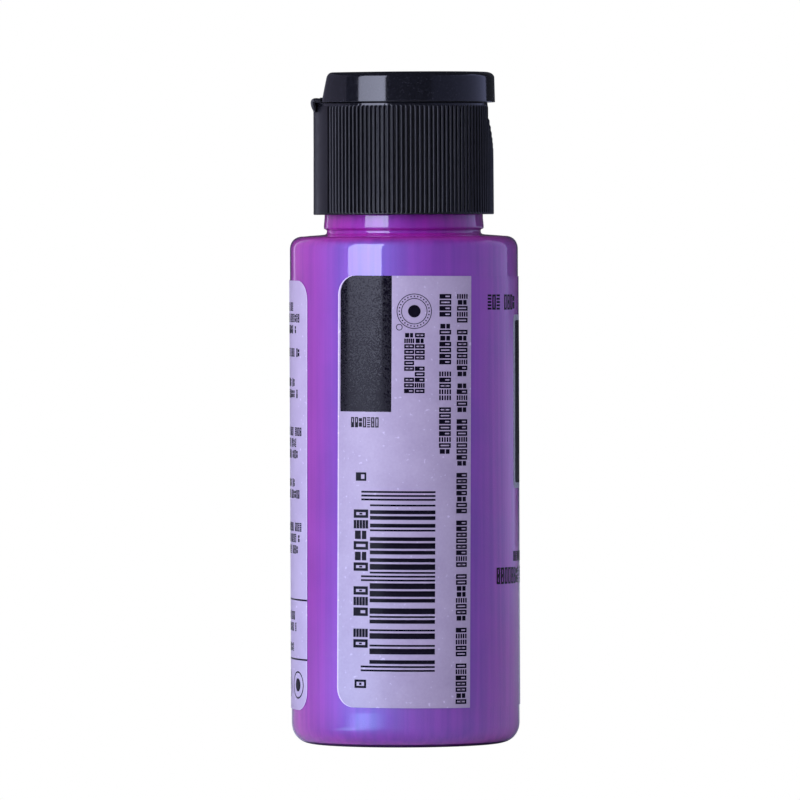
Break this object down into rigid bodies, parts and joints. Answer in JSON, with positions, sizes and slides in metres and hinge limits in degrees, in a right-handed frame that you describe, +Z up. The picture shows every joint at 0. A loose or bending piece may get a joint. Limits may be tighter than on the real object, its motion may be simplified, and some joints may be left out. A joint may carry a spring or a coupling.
{
  "type": "paint bottle",
  "caption": "Round clear squeeze bottle of violet pearl craft paint with a wrap label and a black ribbed flip-top screw closure.",
  "frame": {"origin": "centre of the ring that the bottle stands on, on the bottle's axis", "axes": "+Z up along the bottle's axis; the lid's hinge is on the -X side and its thumb lip on the +X side; the middle of the label's back panel faces -Y"},
  "size_m": [0.035, 0.035, 0.1023],
  "materials": {
    "clear_pet": "gloss",
    "violet_paint": "satin",
    "label_film": "satin",
    "label_print": "satin",
    "black_closure": "satin",
    "black_lid": "gloss",
    "black_hinge": "satin",
    "liner_foam": "matte"
  },
  "bodies": {
    "bottle_body": {"bottle": "clear_pet", "paint": "violet_paint", "label": "label_film"},
    "liner_body": {"liner": "liner_foam"},
    "closure_body": {"cap_body": "black_closure", "hinge_film": "black_hinge", "hinge_strap_near": "black_hinge", "hinge_strap_far": "black_hinge"},
    "lid_body": {"lid": "black_lid"}
  },
  "joints": [
    {"name": "cap_lift", "type": "slide", "parent": "bottle_body", "child": "liner_body", "axis": [0, 0, 1], "range_m": [0, 0.00476]},
    {"name": "cap_turn", "type": "hinge", "parent": "liner_body", "child": "closure_body", "pos_m": [0, 0, 0.09], "axis": [0, 0, 1], "range_deg": [0, 540]},
    {"name": "lid_hinge", "type": "hinge", "parent": "closure_body", "child": "lid_body", "pos_m": [-0.01338, 0, 0.09772], "axis": [0, -1, 0], "range_deg": [0, 150]}
  ],
  "couplings": [
    {"joint": "cap_turn", "follows": "cap_lift", "rad_per_m": 1979}
  ]
}
